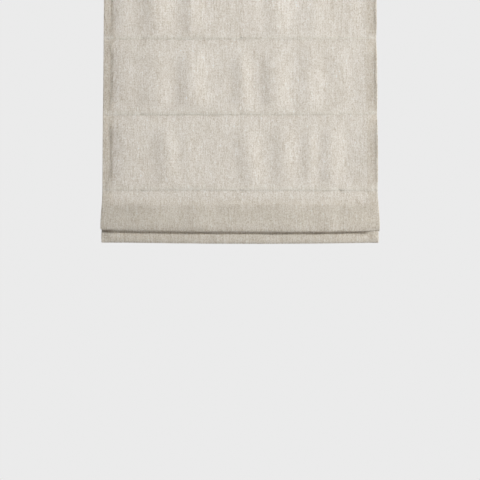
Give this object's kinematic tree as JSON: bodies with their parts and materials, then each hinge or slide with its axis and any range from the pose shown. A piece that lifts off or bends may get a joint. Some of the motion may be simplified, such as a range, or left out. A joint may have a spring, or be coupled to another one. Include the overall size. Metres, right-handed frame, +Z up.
{
  "type": "roman blind",
  "caption": "Cordless roman blind of oatmeal linen, part raised with a soft fold over the hem, on a spring-lift headrail with stiffening rods and a weight bar.",
  "frame": {"origin": "centre of the bracket screw holes, on the top mounting plane", "axes": "+X to the right as seen from the room, -Y towards the room, +Z up out of the mounting plane"},
  "size_m": [0.914, 0.0918, 0.939],
  "materials": {
    "linen": "matte slub weave",
    "tape": "matte twill",
    "rail_white": "satin powder coat",
    "white_plastic": "fine moulded texture",
    "spool_plastic": "satin moulded",
    "motor_plastic": "fine moulded texture",
    "zinc_steel": "zinc plated",
    "spring_steel": "rolled strip",
    "bar_steel": "white lacquer",
    "rod_fibre": "satin",
    "ring_clear": "moulded",
    "cord": "braided"
  },
  "bodies": {
    "headrail": {"headrail": "rail_white", "end_cap_left": "white_plastic", "end_cap_right": "white_plastic", "bracket_left": "zinc_steel", "bracket_right": "zinc_steel", "hook_tape": "tape", "loop_tape": "tape", "cradle_left": "white_plastic", "cradle_centre": "white_plastic", "cradle_right": "white_plastic", "motor_housing": "motor_plastic", "motor_cover": "motor_plastic", "cover_screws": "zinc_steel", "ribbon_spring": "spring_steel", "fabric": "linen", "lift_cord_left": "cord", "lift_cord_centre": "cord", "lift_cord_right": "cord"},
    "shaft": {"lift_shaft": "zinc_steel", "shaft_collars": "white_plastic", "spool_left": "spool_plastic", "spool_centre": "spool_plastic", "spool_right": "spool_plastic", "cord_turns": "cord", "drive_drum": "spool_plastic"},
    "storage": {"storage_drum": "spool_plastic"},
    "rod_1_set": {"rod_1": "rod_fibre", "rod_tips_1": "white_plastic", "rod_pocket_1": "tape", "rings_1": "ring_clear"},
    "rod_2_set": {"rod_2": "rod_fibre", "rod_tips_2": "white_plastic", "rod_pocket_2": "tape", "rings_2": "ring_clear"},
    "rod_3_set": {"rod_3": "rod_fibre", "rod_tips_3": "white_plastic", "rod_pocket_3": "tape", "rings_3": "ring_clear"},
    "rod_4_set": {"rod_4": "rod_fibre", "rod_tips_4": "white_plastic", "rod_pocket_4": "tape", "rings_4": "ring_clear", "cord_locks": "white_plastic", "weight_bar": "bar_steel", "bar_tips": "white_plastic"}
  },
  "joints": [
    {"name": "lift", "type": "slide", "parent": "headrail", "child": "rod_3_set", "axis": [0, 0, 1], "range_m": [0, 0.675], "deforming": ["fabric", "lift_cord_left", "lift_cord_centre", "lift_cord_right"]},
    {"name": "rod_1_rise", "type": "slide", "parent": "headrail", "child": "rod_1_set", "axis": [0, 0, 1], "range_m": [0, 0.2]},
    {"name": "rod_2_rise", "type": "slide", "parent": "headrail", "child": "rod_2_set", "axis": [0, 0, 1], "range_m": [0, 0.438]},
    {"name": "drop", "type": "slide", "parent": "rod_3_set", "child": "rod_4_set", "axis": [0, 0, 1], "range_m": [-0.203, 0.033], "deforming": ["fabric", "lift_cord_left", "lift_cord_centre", "lift_cord_right"]},
    {"name": "shaft_spin", "type": "hinge", "parent": "headrail", "child": "shaft", "pos_m": [0, 0.0004, -0.0215], "axis": [-1, 0, 0], "range_deg": [0, 3026.5]},
    {"name": "storage_spin", "type": "hinge", "parent": "headrail", "child": "storage", "pos_m": [0.14, 0.0125, -0.0215], "axis": [1, 0, 0], "range_deg": [0, 3026.5]}
  ],
  "couplings": [
    {"joint": "rod_1_rise", "follows": "lift", "ratio": 0.29481},
    {"joint": "rod_2_rise", "follows": "lift", "ratio": 0.64741},
    {"joint": "shaft_spin", "follows": "lift", "rad_per_m": 78.125},
    {"joint": "storage_spin", "follows": "lift", "rad_per_m": 78.125}
  ]
}
